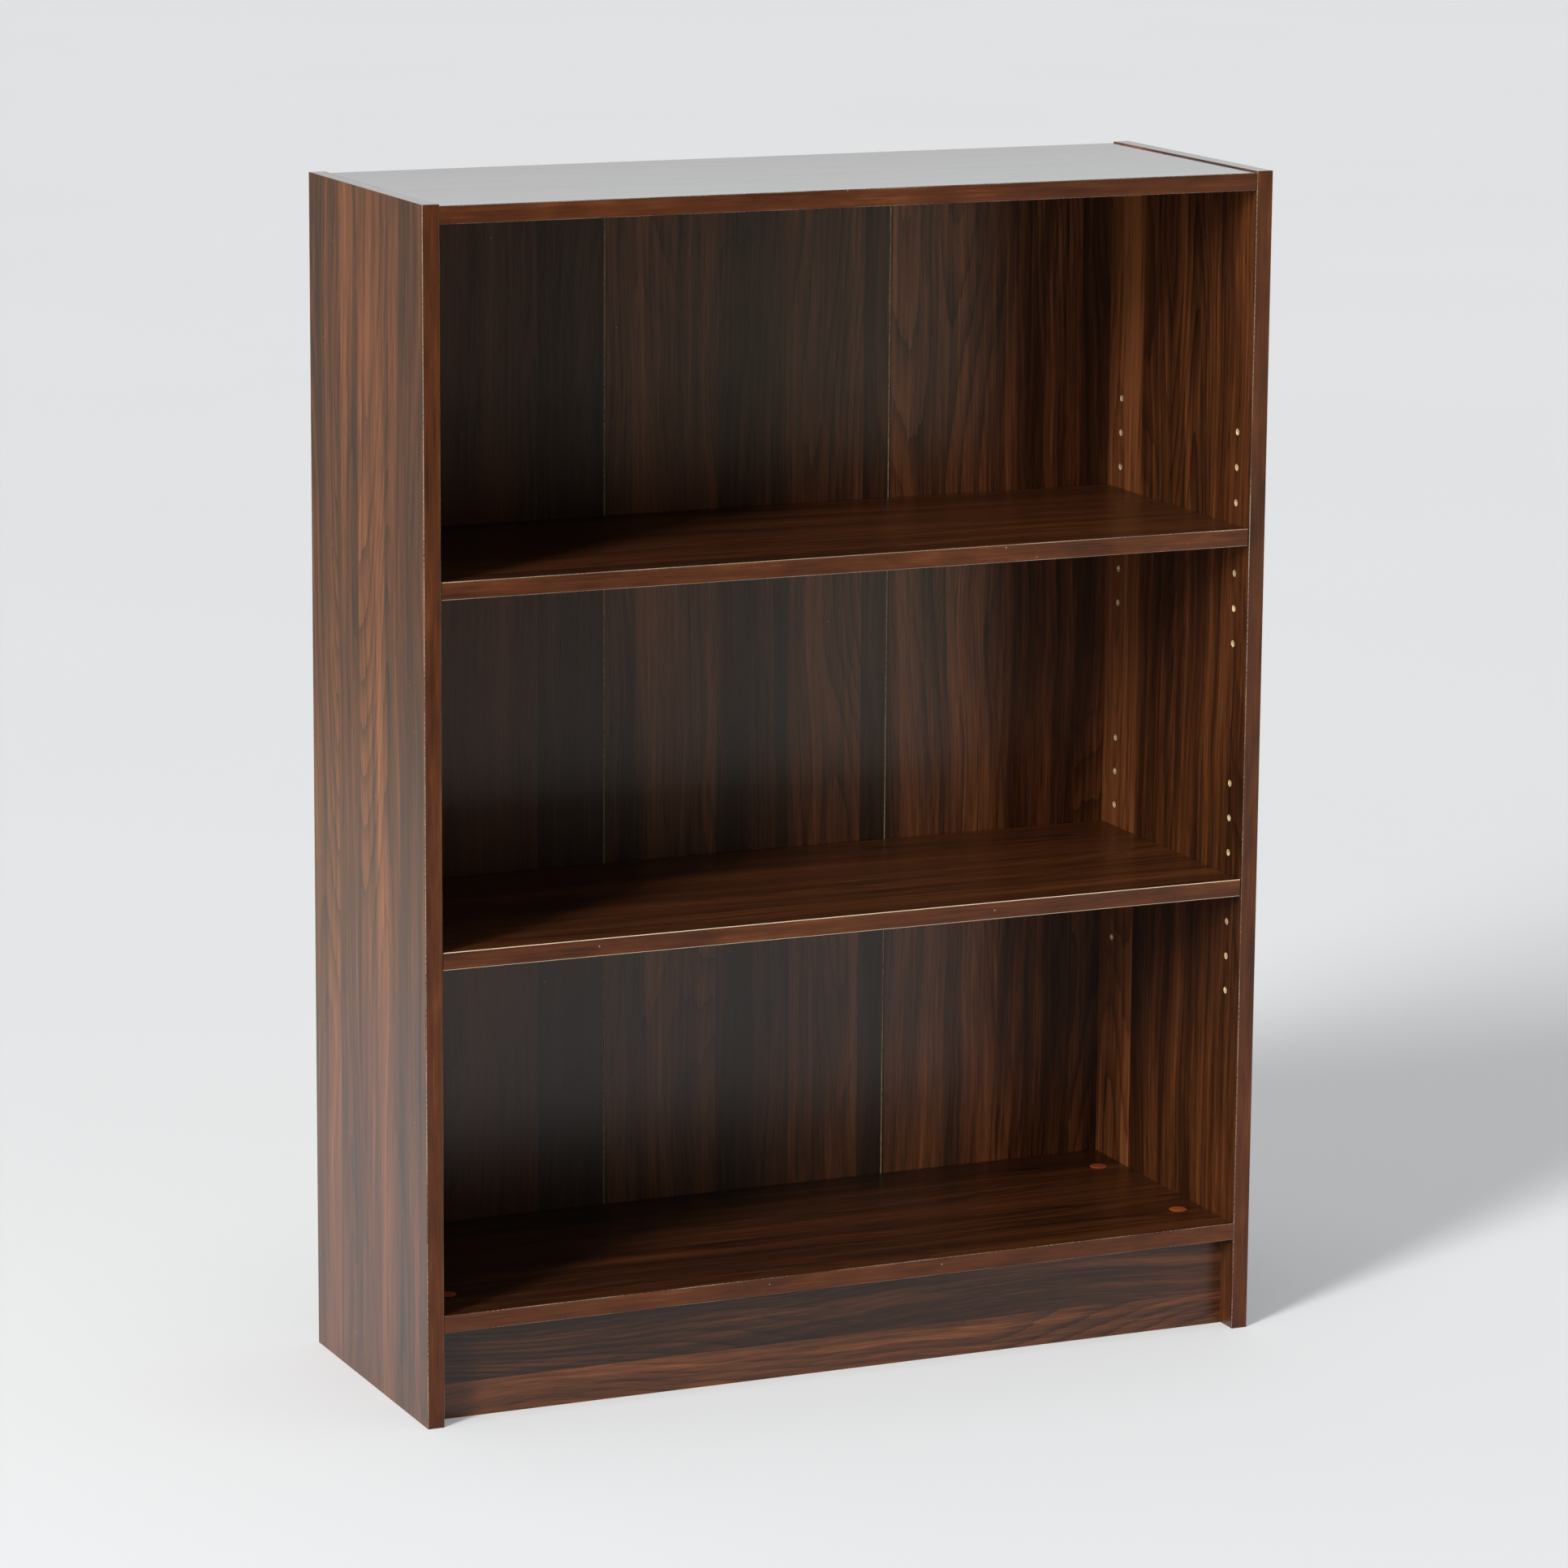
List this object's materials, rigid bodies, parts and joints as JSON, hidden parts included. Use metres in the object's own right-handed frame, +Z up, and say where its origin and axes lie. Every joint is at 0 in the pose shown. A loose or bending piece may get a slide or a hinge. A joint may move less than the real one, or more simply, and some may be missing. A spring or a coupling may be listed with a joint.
{
  "type": "bookcase",
  "caption": "Low open bookcase of walnut-print board: upright sides, fixed top and bottom, recessed plinth, folded back, and shelves on pins that move up or down.",
  "frame": {"origin": "on the floor, at the middle of the bookcase's footprint", "axes": "+Z up, +Y to the back, +X to the right as seen from the front; the open front faces -Y"},
  "size_m": [0.8, 0.2836, 1.06],
  "materials": {
    "side_laminate": "dark walnut-print laminate on chipboard, upright grain, satin",
    "board_laminate": "dark walnut-print laminate on chipboard, grain along the length, satin",
    "back_laminate": "dark walnut-print paper on hardboard, upright grain, satin",
    "edging": "red-brown melamine edging, satin",
    "fold_tape": "matt brown tape",
    "pin_steel": "nickel plated",
    "cam_zinc": "die-cast zinc alloy, dull",
    "bolt_steel": "yellow zinc plated",
    "dowel_beech": "raw beech",
    "cap_plastic": "red-brown moulded plastic"
  },
  "bodies": {
    "carcass": {"back_fold_tape_left": "fold_tape", "back_fold_tape_right": "fold_tape", "back_leaf_left": "back_laminate", "back_leaf_middle": "back_laminate", "back_leaf_right": "back_laminate", "bottom_edging": "edging", "bottom_panel": "board_laminate", "cam_bolt_bottom_front_left": "bolt_steel", "cam_bolt_bottom_front_right": "bolt_steel", "cam_bolt_bottom_rear_left": "bolt_steel", "cam_bolt_bottom_rear_right": "bolt_steel", "cam_bolt_top_front_left": "bolt_steel", "cam_bolt_top_front_right": "bolt_steel", "cam_bolt_top_rear_left": "bolt_steel", "cam_bolt_top_rear_right": "bolt_steel", "cam_cap_front_left": "cap_plastic", "cam_cap_front_right": "cap_plastic", "cam_cap_rear_left": "cap_plastic", "cam_cap_rear_right": "cap_plastic", "dowel_bottom_front_left": "dowel_beech", "dowel_bottom_front_right": "dowel_beech", "dowel_bottom_rear_left": "dowel_beech", "dowel_bottom_rear_right": "dowel_beech", "dowel_top_front_left": "dowel_beech", "dowel_top_front_right": "dowel_beech", "dowel_top_rear_left": "dowel_beech", "dowel_top_rear_right": "dowel_beech", "left_side_edging": "edging", "left_side_panel": "side_laminate", "plinth": "board_laminate", "plinth_dowel_lower_left": "dowel_beech", "plinth_dowel_lower_right": "dowel_beech", "plinth_dowel_upper_left": "dowel_beech", "plinth_dowel_upper_right": "dowel_beech", "right_side_edging": "edging", "right_side_panel": "side_laminate", "top_edging": "edging", "top_panel": "board_laminate"},
    "upper_shelf": {"upper_shelf": "board_laminate", "upper_shelf_edging": "edging"},
    "lower_shelf": {"lower_shelf": "board_laminate", "lower_shelf_edging": "edging"},
    "shelf_pin_upper_front_left": {"shelf_pin_upper_front_left": "pin_steel"},
    "shelf_pin_upper_front_right": {"shelf_pin_upper_front_right": "pin_steel"},
    "shelf_pin_upper_rear_left": {"shelf_pin_upper_rear_left": "pin_steel"},
    "shelf_pin_upper_rear_right": {"shelf_pin_upper_rear_right": "pin_steel"},
    "shelf_pin_lower_front_left": {"shelf_pin_lower_front_left": "pin_steel"},
    "shelf_pin_lower_front_right": {"shelf_pin_lower_front_right": "pin_steel"},
    "shelf_pin_lower_rear_left": {"shelf_pin_lower_rear_left": "pin_steel"},
    "shelf_pin_lower_rear_right": {"shelf_pin_lower_rear_right": "pin_steel"},
    "cam_top_front_left": {"cam_top_front_left": "cam_zinc"},
    "cam_top_front_right": {"cam_top_front_right": "cam_zinc"},
    "cam_top_rear_left": {"cam_top_rear_left": "cam_zinc"},
    "cam_top_rear_right": {"cam_top_rear_right": "cam_zinc"},
    "cam_bottom_front_left": {"cam_bottom_front_left": "cam_zinc"},
    "cam_bottom_front_right": {"cam_bottom_front_right": "cam_zinc"},
    "cam_bottom_rear_left": {"cam_bottom_rear_left": "cam_zinc"},
    "cam_bottom_rear_right": {"cam_bottom_rear_right": "cam_zinc"}
  },
  "joints": [
    {"name": "upper_shelf_height", "type": "slide", "parent": "carcass", "child": "upper_shelf", "axis": [0, 0, 1], "range_m": [-0.096, 0.096]},
    {"name": "shelf_pin_upper_front_left_pull", "type": "slide", "parent": "upper_shelf", "child": "shelf_pin_upper_front_left", "axis": [1, 0, 0], "range_m": [0, 0.0092]},
    {"name": "shelf_pin_upper_front_right_pull", "type": "slide", "parent": "upper_shelf", "child": "shelf_pin_upper_front_right", "axis": [-1, 0, 0], "range_m": [0, 0.0092]},
    {"name": "shelf_pin_upper_rear_left_pull", "type": "slide", "parent": "upper_shelf", "child": "shelf_pin_upper_rear_left", "axis": [1, 0, 0], "range_m": [0, 0.0092]},
    {"name": "shelf_pin_upper_rear_right_pull", "type": "slide", "parent": "upper_shelf", "child": "shelf_pin_upper_rear_right", "axis": [-1, 0, 0], "range_m": [0, 0.0092]},
    {"name": "lower_shelf_height", "type": "slide", "parent": "carcass", "child": "lower_shelf", "axis": [0, 0, 1], "range_m": [-0.096, 0.096]},
    {"name": "shelf_pin_lower_front_left_pull", "type": "slide", "parent": "lower_shelf", "child": "shelf_pin_lower_front_left", "axis": [1, 0, 0], "range_m": [0, 0.0092]},
    {"name": "shelf_pin_lower_front_right_pull", "type": "slide", "parent": "lower_shelf", "child": "shelf_pin_lower_front_right", "axis": [-1, 0, 0], "range_m": [0, 0.0092]},
    {"name": "shelf_pin_lower_rear_left_pull", "type": "slide", "parent": "lower_shelf", "child": "shelf_pin_lower_rear_left", "axis": [1, 0, 0], "range_m": [0, 0.0092]},
    {"name": "shelf_pin_lower_rear_right_pull", "type": "slide", "parent": "lower_shelf", "child": "shelf_pin_lower_rear_right", "axis": [-1, 0, 0], "range_m": [0, 0.0092]},
    {"name": "cam_top_front_left_turn", "type": "hinge", "parent": "carcass", "child": "cam_top_front_left", "pos_m": [-0.359, -0.081, 1.05075], "axis": [0, 0, -1], "range_deg": [0, 180]},
    {"name": "cam_top_front_right_turn", "type": "hinge", "parent": "carcass", "child": "cam_top_front_right", "pos_m": [0.359, -0.081, 1.05075], "axis": [0, 0, -1], "range_deg": [0, 180]},
    {"name": "cam_top_rear_left_turn", "type": "hinge", "parent": "carcass", "child": "cam_top_rear_left", "pos_m": [-0.359, 0.081, 1.05075], "axis": [0, 0, -1], "range_deg": [0, 180]},
    {"name": "cam_top_rear_right_turn", "type": "hinge", "parent": "carcass", "child": "cam_top_rear_right", "pos_m": [0.359, 0.081, 1.05075], "axis": [0, 0, -1], "range_deg": [0, 180]},
    {"name": "cam_bottom_front_left_turn", "type": "hinge", "parent": "carcass", "child": "cam_bottom_front_left", "pos_m": [-0.359, -0.081, 0.09225], "axis": [0, 0, 1], "range_deg": [0, 180]},
    {"name": "cam_bottom_front_right_turn", "type": "hinge", "parent": "carcass", "child": "cam_bottom_front_right", "pos_m": [0.359, -0.081, 0.09225], "axis": [0, 0, 1], "range_deg": [0, 180]},
    {"name": "cam_bottom_rear_left_turn", "type": "hinge", "parent": "carcass", "child": "cam_bottom_rear_left", "pos_m": [-0.359, 0.081, 0.09225], "axis": [0, 0, 1], "range_deg": [0, 180]},
    {"name": "cam_bottom_rear_right_turn", "type": "hinge", "parent": "carcass", "child": "cam_bottom_rear_right", "pos_m": [0.359, 0.081, 0.09225], "axis": [0, 0, 1], "range_deg": [0, 180]}
  ]
}
